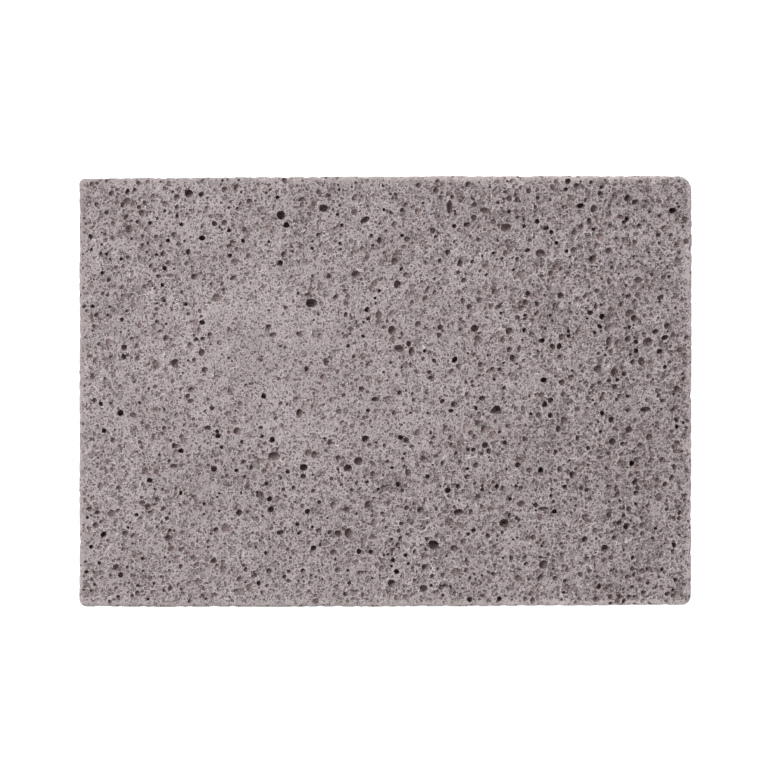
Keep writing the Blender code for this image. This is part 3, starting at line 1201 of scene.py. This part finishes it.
class Socket:
    """A shader socket on which sums are written as Python expressions."""

    def __init__(self, bench: "NodeBench", socket: bpy.types.NodeSocket) -> None:
        """Wraps a socket of the bench's material."""
        self.bench = bench
        self.socket = socket

    def _math(self, operation: str, *values: "Socket | float") -> "Socket":
        """A Math node on some values."""
        return self.bench.math(operation, *values)

    def __add__(self, other: "Socket | float") -> "Socket":
        """The sum."""
        return self._math("ADD", self, other)

    __radd__ = __add__

    def __sub__(self, other: "Socket | float") -> "Socket":
        """The difference."""
        return self._math("SUBTRACT", self, other)

    def __rsub__(self, other: float) -> "Socket":
        """The difference, from a number."""
        return self._math("SUBTRACT", other, self)

    def __mul__(self, other: "Socket | float") -> "Socket":
        """The product."""
        return self._math("MULTIPLY", self, other)

    __rmul__ = __mul__

    def __truediv__(self, other: "Socket | float") -> "Socket":
        """The quotient."""
        return self._math("DIVIDE", self, other)

    def at_least(self, other: "Socket | float") -> "Socket":
        """The larger of the two."""
        return self._math("MAXIMUM", self, other)

    def at_most(self, other: "Socket | float") -> "Socket":
        """The smaller of the two."""
        return self._math("MINIMUM", self, other)

    def size(self) -> "Socket":
        """The value without its sign."""
        return self._math("ABSOLUTE", self)

    def ramp(self, start: "Socket | float", end: "Socket | float") -> "Socket":
        """A smooth rise from 0 at the start to 1 at the end.

        Args:
            start: The value that gives 0.
            end: The value that gives 1; it may be the smaller of the two.

        Returns:
            The rise.
        """
        settings = {"interpolation_type": "SMOOTHSTEP"}
        sockets = {"Value": self, "From Min": start, "From Max": end}
        return self.bench.add("ShaderNodeMapRange", settings, sockets)["Result"]


class NodeBench:
    """Adds the nodes of one material."""

    def __init__(self, name: str) -> None:
        """Starts a material with only its output.

        Args:
            name: The material's name.
        """
        self.material = bpy.data.materials.new(name)
        self.material.use_nodes = True
        self.tree = self.material.node_tree
        self.tree.nodes.clear()

    def add(
        self, kind: str, settings: dict | None = None, sockets: dict | None = None
    ) -> dict[str, Socket]:
        """Adds any node.

        Args:
            kind: The node's type.
            settings: Its settings, which are set first.
            sockets: Values or links by socket name or number.

        Returns:
            The node's outputs by name.
        """
        node = self.tree.nodes.new(kind)
        for key, value in (settings or {}).items():
            setattr(node, key, value)
        for key, value in (sockets or {}).items():
            if isinstance(value, Socket):
                self.tree.links.new(value.socket, node.inputs[key])
            else:
                node.inputs[key].default_value = value
        return {output.name: Socket(self, output) for output in node.outputs if output.enabled}

    def math(self, operation: str, *values: "Socket | float") -> Socket:
        """A Math node."""
        return self.add("ShaderNodeMath", {"operation": operation}, dict(enumerate(values)))["Value"]

    def mix(self, factor: "Socket | float", first: "Socket | tuple", last: "Socket | tuple") -> Socket:
        """A colour between two others.

        Args:
            factor: 0 gives the first colour, and 1 the last.
            first: The first colour.
            last: The last colour.

        Returns:
            The mixed colour.
        """
        settings = {"data_type": "RGBA", "blend_type": "MIX"}
        return self.add("ShaderNodeMix", settings, {0: factor, 6: first, 7: last})["Result"]

    def shade(self, colour: Socket, amount: Socket) -> Socket:
        """A colour made lighter or darker by an amount."""
        settings = {"operation": "SCALE"}
        return self.add("ShaderNodeVectorMath", settings, {0: colour, "Scale": amount})["Vector"]

    def shift(self, place: Socket, along: float) -> Socket:
        """A place moved by a distance along X and twice as far along Y, for another pattern."""
        sockets = {0: place, 1: (along, 2 * along, 0.0)}
        return self.add("ShaderNodeVectorMath", {"operation": "ADD"}, sockets)["Vector"]


def srgb(red: float, green: float, blue: float) -> tuple[float, float, float, float]:
    """A colour from its 0 to 255 screen values.

    Args:
        red: The red value.
        green: The green value.
        blue: The blue value.

    Returns:
        The colour as the shader needs it, with an alpha of 1.
    """
    linear = [
        value / 12.92 if value <= 0.04045 else ((value + 0.055) / 1.055) ** 2.4
        for value in (red / 255, green / 255, blue / 255)
    ]
    return (*linear, 1.0)


@dataclass(frozen=True)
class MicroPores:
    """Pores that are too fine for the mesh, one to a cell, with radii in parts of the cell, each with
    painted shade inside and a painted highlight around it.
    """

    cell: float
    least: float
    most: float
    darkness: float
    rarity: float
    shift: float


@dataclass(frozen=True)
class FoamCells:
    """Shallow angular cells side by side, with painted shade inside and thin walls made pale by a painted
    highlight, commoner towards the right.
    """

    cell: float
    wall: float
    darkness: float
    left_share: float
    right_share: float
    shift: float


@dataclass(frozen=True)
class PumiceFinish:
    """Dry, matt grey-mauve pumice: powdery ground and fine speckle, painted shade in the bubbles and fine
    hollows, and painted highlights on their rims and on the block's edges.
    """

    ground: tuple = srgb(158, 147, 148)
    pale: tuple = srgb(166, 156, 157)
    # Painted light on the rubbed edges: painted shade on the left and back ones, a painted highlight on
    # the right and front ones
    left_edge_shade: tuple = srgb(149, 141, 140)
    right_edge_highlight: tuple = srgb(204, 194, 191)
    # Painted shade on the floors of the bubbles, between a paler and a darker one for each pore
    pale_floor_shade: tuple = srgb(140, 123, 122)
    dark_floor_shade: tuple = srgb(115, 99, 97)
    # Painted shade in the fine hollows that the mesh leaves out
    painted_pore_shade: tuple = srgb(64, 48, 48)
    roughness: float = 0.95
    # Painted highlight on the rims of the pores and on the thin walls of the foam cells
    rim_highlight: float = 0.20
    # Darker towards the right of the stone
    right_darkening: float = 0.05
    calm_place: tuple = (-7 * MM, 4 * MM)
    calm_reach: tuple = (40 * MM, 22 * MM)
    calm_light: float = 0.03
    mottle: float = 0.08
    grain: float = 0.10
    # Painted shade that deepens inside the bubbles
    pore_depth_shade: float = 0.06
    cloud_size: float = 9 * MM
    mottle_size: float = 2.2 * MM
    grain_size: float = 0.35 * MM
    edge_waver: float = 1.2 * MM
    edge_reach: tuple = (1.3 * MM, 0.2 * MM)
    bump_strength: float = 0.8
    bump_depth: float = 0.15 * MM
    micro: tuple[MicroPores, ...] = (
        MicroPores(0.95 * MM, 0.08, 0.24, 0.88, 0.60, 0.0),
        MicroPores(0.78 * MM, 0.16, 0.46, 0.60, 0.10, 9.1),
        MicroPores(0.56 * MM, 0.14, 0.50, 0.60, 0.12, 3.1),
        MicroPores(0.38 * MM, 0.15, 0.58, 0.70, 0.15, 5.3),
        MicroPores(0.24 * MM, 0.15, 0.66, 0.84, 0.10, 7.7),
    )
    foam: tuple[FoamCells, ...] = (
        FoamCells(1.15 * MM, 0.07 * MM, 0.36, 0.20, 0.35, 1.9),
        FoamCells(0.78 * MM, 0.06 * MM, 0.42, 0.26, 0.40, 4.3),
    )

    def dress(self, block: SawnBlock) -> bpy.types.Material:
        """Builds the material.

        Args:
            block: The block that it covers.

        Returns:
            The material.
        """
        bench = NodeBench("pumice")
        place = bench.add("ShaderNodeTexCoord")["Object"]
        parts = bench.add("ShaderNodeSeparateXYZ", None, {"Vector": place})
        pore = bench.add("ShaderNodeUVMap", {"uv_map": PORE_MAP})["UV"]
        pore_parts = bench.add("ShaderNodeSeparateXYZ", None, {"Vector": pore})
        # The depth in a bubble and the painted shade of its floor, from the Pore map
        deep, tone = pore_parts["X"], pore_parts["Y"]

        edge = self._edge_distance(block, parts)
        right = parts["X"].ramp(block.low.x, block.high.x)
        front = parts["Y"].ramp(block.high.y, block.low.y)
        calm = self._calm(parts)
        inside = deep.ramp(0.0, 0.02)
        # The tops of the bubbles' walls: they keep the ground colour and take the painted rim highlight
        wall_top = inside * deep.ramp(0.07, 0.03)

        cloud = self._noise(bench, place, self.cloud_size, 2.0)
        mottle = self._noise(bench, place, self.mottle_size, 3.0)
        grain = self._noise(bench, place, self.grain_size, 2.0)
        edge_share = (edge + (mottle - 0.5) * self.edge_waver).ramp(*self.edge_reach)
        keep = (1 - edge_share * 0.4) * (1.02 + right * 0.06 - calm * 0.04)
        holes, hollow = self._micro_pores(bench, place, keep)
        cells, cell_hollow = self._foam_cells(bench, place, right, keep, 1 - calm * 0.5)
        holes, hollow = holes * cells, hollow + cell_hollow
        paler = (cloud * 0.6 + mottle * 0.4).ramp(0.35, 0.65)
        colour = bench.mix(paler, self.ground, self.pale)
        # Painted shade on the bubbles' floors, paler or darker for each pore; the tops of the walls keep
        # the ground colour
        floor = bench.mix(tone.ramp(0.35, 0.65), self.pale_floor_shade, self.dark_floor_shade)
        colour = bench.mix((inside - wall_top) * 0.8 + deep.ramp(0.05, 0.5) * 0.12, colour, floor)
        # Painted light on the rubbed edges: painted shade to the left and back, a painted highlight to the
        # right and front
        painted_edge_light = bench.mix(right * 0.75 + front * 0.25, self.left_edge_shade, self.right_edge_highlight)
        colour = bench.mix(edge_share * (1 - inside) * 0.7, colour, painted_edge_light)

        # Darker towards the right, lighter in the calm area
        light = 1 - right * self.right_darkening + calm * self.calm_light
        light = light * (1 + (cloud - 0.5) * self.mottle + (mottle - 0.5) * self.mottle)
        light = light * (1 + (grain - 0.5) * self.grain)
        # Painted shade deeper inside the bubbles, and a painted highlight on the tops of their walls
        light = light * (1 - deep.ramp(0.0, 0.8) * self.pore_depth_shade) * (1 + wall_top * self.rim_highlight)
        # Painted shade in the fine hollows and foam cells, then the painted highlight around them
        # brightens the colour
        colour = bench.mix(holes, self.painted_pore_shade, bench.shade(colour, light))
        colour = bench.shade(colour, holes.at_least(1.0))

        height = grain * 0.25 + mottle * 0.3 - hollow
        relief = {"Strength": self.bump_strength, "Distance": self.bump_depth, "Height": height}
        bump = bench.add("ShaderNodeBump", None, relief)["Normal"]
        surface = bench.add(
            "ShaderNodeBsdfPrincipled",
            None,
            {"Base Color": colour, "Roughness": self.roughness, "Normal": bump},
        )["BSDF"]
        bench.add("ShaderNodeOutputMaterial", None, {"Surface": surface})
        return bench.material

    @staticmethod
    def _noise(bench: NodeBench, place: Socket, size: float, detail: float) -> Socket:
        """Smooth noise with features of a size."""
        sockets = {"Vector": place, "Scale": 1 / size, "Detail": detail}
        return bench.add("ShaderNodeTexNoise", None, sockets)["Fac"]

    def _calm(self, parts: dict[str, Socket]) -> Socket:
        """How near a point is to the middle of the calm area, from 0 to 1."""
        across = (parts["X"] - self.calm_place[0]) / self.calm_reach[0]
        up = (parts["Y"] - self.calm_place[1]) / self.calm_reach[1]
        return (across * across + up * up).ramp(1.0, 0.2)

    @staticmethod
    def _edge_distance(block: SawnBlock, parts: dict[str, Socket]) -> Socket:
        """The distance from the nearest edge of the block.

        Args:
            block: The block.
            parts: The point's X, Y and Z.

        Returns:
            The distance, which is the middle one of those from the three pairs of faces.
        """
        middle = block.thickness / 2
        x = block.length / 2 - parts["X"].size()
        back = parts["X"] * (block.back_drop / block.length) + (block.high.y - block.back_drop / 2)
        front = parts["X"] * (block.front_drop / block.length) + (block.low.y + block.front_drop / 2)
        y = (back - parts["Y"]).at_most(parts["Y"] - front)
        z = middle - (parts["Z"] - middle).size()
        return x.at_most(y).at_least(x.at_least(y).at_most(z))

    def _micro_pores(self, bench: NodeBench, place: Socket, keep: Socket) -> tuple[Socket, Socket]:
        """The pores that are too fine for the mesh.

        Args:
            bench: The bench.
            place: The point on the stone.
            keep: How many of them show, from 0 to 1.

        Returns:
            The share of light that they leave, and how deep they are.
        """
        light, hollow = 1.0, 0.0
        for pores in self.micro:
            moved = bench.shift(place, pores.shift * MM)
            sockets = {"Vector": moved, "Scale": 1 / pores.cell}
            cells = bench.add("ShaderNodeTexVoronoi", None, sockets)
            chance = bench.add("ShaderNodeSeparateColor", None, {"Color": cells["Color"]})
            radius = (chance["Red"] * (pores.most - pores.least) + pores.least) * keep
            there = chance["Green"].ramp(pores.rarity, pores.rarity + 0.25)
            hole = cells["Distance"].ramp(radius, radius * 0.75) * there
            around = cells["Distance"].ramp(radius * 1.6, radius * 1.1) * (there - hole)
            # Painted shade in each fine hole, and a painted highlight in the ring around it
            light = light * (1 - hole * (chance["Blue"] * 0.6 + 0.4) * pores.darkness)
            light = light * (1 + around * self.rim_highlight)
            hollow = hollow + hole * (pores.cell / MM)
        return light, hollow

    def _foam_cells(
        self, bench: NodeBench, place: Socket, right: Socket, keep: Socket, share_kept: Socket
    ) -> tuple[Socket, Socket]:
        """The shallow cells side by side.

        Args:
            bench: The bench.
            place: The point on the stone.
            right: How far to the right the point is, from 0 to 1.
            keep: How strongly they show, from 0 to 1.
            share_kept: The part of them that is left, from 0 to 1.

        Returns:
            The share of light that they leave, and how deep they are.
        """
        light, hollow = 1.0, 0.0
        for foam in self.foam:
            moved = bench.shift(place, foam.shift * MM)
            sockets = {"Vector": moved, "Scale": 1 / foam.cell}
            cells = bench.add("ShaderNodeTexVoronoi", None, sockets)
            walls = bench.add("ShaderNodeTexVoronoi", {"feature": "DISTANCE_TO_EDGE"}, sockets)
            chance = bench.add("ShaderNodeSeparateColor", None, {"Color": cells["Color"]})
            share = (right * (foam.right_share - foam.left_share) + foam.left_share) * share_kept
            there = (share - chance["Red"]).ramp(0.0, 0.03) * keep
            wall = foam.wall / foam.cell
            inner = walls["Distance"].ramp(0.5 * wall, 1.6 * wall) * cells["Distance"].ramp(0.74, 0.64)
            # Painted shade in each cell, and a painted highlight on its walls
            light = light * (1 - there * inner * (chance["Green"] * 0.75 + 0.25) * foam.darkness)
            light = light * (1 + there * (1 - inner) * self.rim_highlight)
            hollow = hollow + there * inner * (foam.cell / MM)
        return light, hollow


@dataclass(frozen=True)
class FloorFinish:
    """The plain pale floor."""

    colour: tuple = (0.94, 0.94, 0.94, 1.0)
    roughness: float = 0.9
    glow: float = 0.75

    def dress(self) -> bpy.types.Material:
        """Builds the material.

        Returns:
            The material.
        """
        bench = NodeBench("pale_floor_shade")
        sockets = {
            "Base Color": self.colour,
            "Roughness": self.roughness,
            "Emission Color": self.colour,
            "Emission Strength": self.glow,
        }
        surface = bench.add("ShaderNodeBsdfPrincipled", None, sockets)["BSDF"]
        bench.add("ShaderNodeOutputMaterial", None, {"Surface": surface})
        return bench.material


@dataclass
class PumiceStone:
    """The stone: its block, its pores and its finish."""

    block: SawnBlock
    pores: PoreField
    finish: PumiceFinish
    lump_seed: int = 5
    smooth_angle: float = 58.0
    weld_distance: float = 0.002 * MM

    def build(self) -> bpy.types.Object:
        """Models and dresses the stone.

        Returns:
            The finished piece.
        """
        stone = self.block.build()
        material = self.finish.dress(self.block)
        stone.data.materials.append(material)
        stone.data.materials.append(material)
        pores = self.pores.all_pores()
        self._cut(stone, pores)
        stone = self._keep_largest(stone)
        self._weld(stone)
        self.block.bend(stone)
        self._shade(stone)
        stone.data.materials.pop(index=1)
        stone.name = "pumice_stone_fine"
        LOG.info("%s: %d pores, %d faces", stone.name, len(pores), len(stone.data.polygons))
        return stone

    def _batches(self, pores: list[Pore]) -> list[list[Pore]]:
        """Parts the pores into batches in which no two bubbles meet.

        Args:
            pores: The pores.

        Returns:
            The batches.
        """
        tree = KDTree(len(pores))
        for number, pore in enumerate(pores):
            tree.insert(pore.face.point(pore.along, pore.across), number)
        tree.balance()
        widest = max(max(pore.reach, pore.depth) for pore in pores)
        batch_of = [-1] * len(pores)
        batches: list[list[Pore]] = []
        for number, pore in enumerate(pores):
            middle = pore.face.point(pore.along, pore.across)
            own = max(pore.reach, pore.depth)
            taken = set()
            for _, other, distance in tree.find_range(middle, own + widest):
                near = pores[other]
                same = near.face.side is pore.face.side
                both = pore.reach + near.reach if same else own + max(near.reach, near.depth)
                if other != number and distance < both:
                    taken.add(batch_of[other])
            batch = next(free for free in range(len(pores)) if free not in taken)
            if batch == len(batches):
                batches.append([])
            batches[batch].append(pore)
            batch_of[number] = batch
        return batches

    def _cut(self, stone: bpy.types.Object, pores: list[Pore]) -> None:
        """Cuts all pores into the stone."""
        moulds = {mould: BubbleMould(mould) for mould in Mould}
        noise = np.random.default_rng(self.lump_seed)
        for number, batch in enumerate(self._batches(pores)):
            castings = []
            for mould, bubble in moulds.items():
                own = [pore for pore in batch if pore.mould is mould]
                if own:
                    castings.append(bubble.cast(own, noise, self.block.sheet_side))
            cutter = cutter_from(castings, f"bubbles_{number}")
            bpy.ops.object.select_all(action="DESELECT")
            stone.select_set(True)
            bpy.context.view_layer.objects.active = stone
            cut = stone.modifiers.new("cut", "BOOLEAN")
            cut.operation = "DIFFERENCE"
            cut.solver = "MANIFOLD"
            cut.object = cutter
            bpy.ops.object.modifier_apply(modifier=cut.name)
            bpy.data.meshes.remove(cutter.data)
            LOG.info("batch %d: %d bubbles, %d faces", number, len(batch), len(stone.data.polygons))

    @staticmethod
    def _keep_largest(stone: bpy.types.Object) -> bpy.types.Object:
        """Removes crumbs that the cuts have set free.

        Args:
            stone: The stone with its crumbs.

        Returns:
            The stone alone.
        """
        bpy.ops.object.select_all(action="DESELECT")
        stone.select_set(True)
        bpy.context.view_layer.objects.active = stone
        bpy.ops.object.mode_set(mode="EDIT")
        bpy.ops.mesh.select_all(action="SELECT")
        bpy.ops.mesh.separate(type="LOOSE")
        bpy.ops.object.mode_set(mode="OBJECT")
        shells = sorted(bpy.context.selected_objects, key=lambda shell: len(shell.data.polygons))
        for crumb in shells[:-1]:
            bpy.data.meshes.remove(crumb.data)
        LOG.info("crumbs removed: %d", len(shells) - 1)
        return shells[-1]

    def _weld(self, stone: bpy.types.Object) -> None:
        """Welds the needle-thin faces that the cuts leave, and takes off the fins."""
        bpy.ops.object.select_all(action="DESELECT")
        stone.select_set(True)
        bpy.context.view_layer.objects.active = stone
        bpy.ops.object.mode_set(mode="EDIT")
        bpy.ops.mesh.select_all(action="SELECT")
        bpy.ops.mesh.quads_convert_to_tris(quad_method="BEAUTY", ngon_method="BEAUTY")
        bpy.ops.mesh.remove_doubles(threshold=self.weld_distance)
        bpy.ops.mesh.select_mode(type="FACE")
        bpy.ops.mesh.select_all(action="DESELECT")
        mesh = bmesh.from_edit_mesh(stone.data)
        for face in mesh.faces:
            meets = [len(edge.link_faces) for edge in face.edges]
            face.select_set(min(meets) == 1 and max(meets) > 2)
        bmesh.update_edit_mesh(stone.data)
        bpy.ops.mesh.delete(type="FACE")
        open_edges = sum(not edge.is_manifold for edge in bmesh.from_edit_mesh(stone.data).edges)
        LOG.info("open edges left: %d", open_edges)
        bpy.ops.object.mode_set(mode="OBJECT")

    def _shade(self, stone: bpy.types.Object) -> None:
        """Shades the bubbles smooth and keeps the edges of their openings sharp."""
        bpy.ops.object.select_all(action="DESELECT")
        stone.select_set(True)
        bpy.context.view_layer.objects.active = stone
        bpy.ops.object.shade_smooth_by_angle(angle=math.radians(self.smooth_angle))
        bpy.ops.object.mode_set(mode="EDIT")
        bpy.ops.mesh.select_mode(type="EDGE")
        bpy.ops.mesh.select_all(action="DESELECT")
        mesh = bmesh.from_edit_mesh(stone.data)
        for edge in mesh.edges:
            edge.select_set(len({face.material_index for face in edge.link_faces}) > 1)
        bmesh.update_edit_mesh(stone.data)
        bpy.ops.mesh.mark_sharp()
        bpy.ops.object.mode_set(mode="OBJECT")


@dataclass
class Studio:
    """The pale floor, the soft lights and the camera straight above the stone."""

    block: SawnBlock
    floor_side: float = 3.0
    floor_gap: float = 0.05 * MM
    frame_width: float = 127.08 * MM
    lens: float = 120.0
    sensor: float = 36.0
    aim_x: float = 0.73 * MM
    aim_y: float = 0.20 * MM
    key_power: float = 17.0
    key_size: float = 0.9
    key_place: tuple[float, float, float] = (-0.70, 0.70, 0.95)
    fill_strength: float = 0.55

    def build(self) -> None:
        """Sets up the floor, the lights, the camera and the plain colour management."""
        self._add_floor()
        self._add_key()
        self._add_fill()
        self._add_camera()
        bpy.context.scene.view_settings.view_transform = "Standard"
        LOG.info("studio: floor, key light, fill and camera")

    def _add_floor(self) -> None:
        """Lays the floor a hair below the stone."""
        bpy.ops.object.select_all(action="DESELECT")
        bpy.ops.mesh.primitive_plane_add(size=self.floor_side, location=(0, 0, -self.floor_gap))
        floor = bpy.context.active_object
        floor.name = "floor"
        floor.data.materials.append(FloorFinish().dress())
        floor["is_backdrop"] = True

    def _add_key(self) -> None:
        """Hangs the large soft key light at the upper left of the picture."""
        light = bpy.data.lights.new("key", "AREA")
        light.energy = self.key_power
        light.shape = "DISK"
        light.size = self.key_size
        key = bpy.data.objects.new("key", light)
        bpy.context.scene.collection.objects.link(key)
        key.location = self.key_place
        way = Vector((0, 0, self.block.thickness)) - key.location
        key.rotation_euler = way.to_track_quat("-Z", "Y").to_euler()

    def _add_fill(self) -> None:
        """Lights everything evenly from all around."""
        world = bpy.data.worlds.new("studio")
        world.use_nodes = True
        background = world.node_tree.nodes["Background"]
        background.inputs["Color"].default_value = (1.0, 1.0, 1.0, 1.0)
        background.inputs["Strength"].default_value = self.fill_strength
        bpy.context.scene.world = world

    def _add_camera(self) -> None:
        """Puts the camera straight above the stone, with the stone's back edge up."""
        camera = bpy.data.cameras.new("camera")
        camera.lens = self.lens
        camera.sensor_width = self.sensor
        height = self.block.thickness + self.frame_width * self.lens / self.sensor
        place = bpy.data.objects.new("camera", camera)
        place.location = (self.aim_x, self.aim_y, height)
        bpy.context.scene.collection.objects.link(place)
        bpy.context.scene.camera = place


def write_sizes() -> None:
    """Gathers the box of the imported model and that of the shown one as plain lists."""
    boxes = {"cad": CAD_BOX, "visual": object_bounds()}
    plain = {name: [list(corner) for corner in box] for name, box in boxes.items()}


def main() -> None:
    """Builds the studio and the stone."""
    logging.basicConfig(level=logging.INFO, format="%(name)s: %(message)s")
    block = SawnBlock(*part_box(NODE))
    Studio(block).build()
    stone = PumiceStone(block, PoreField(block), PumiceFinish()).build()
    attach(stone, "root")
    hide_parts(NODE)
    write_sizes()


if __name__ == "__main__":
    main()
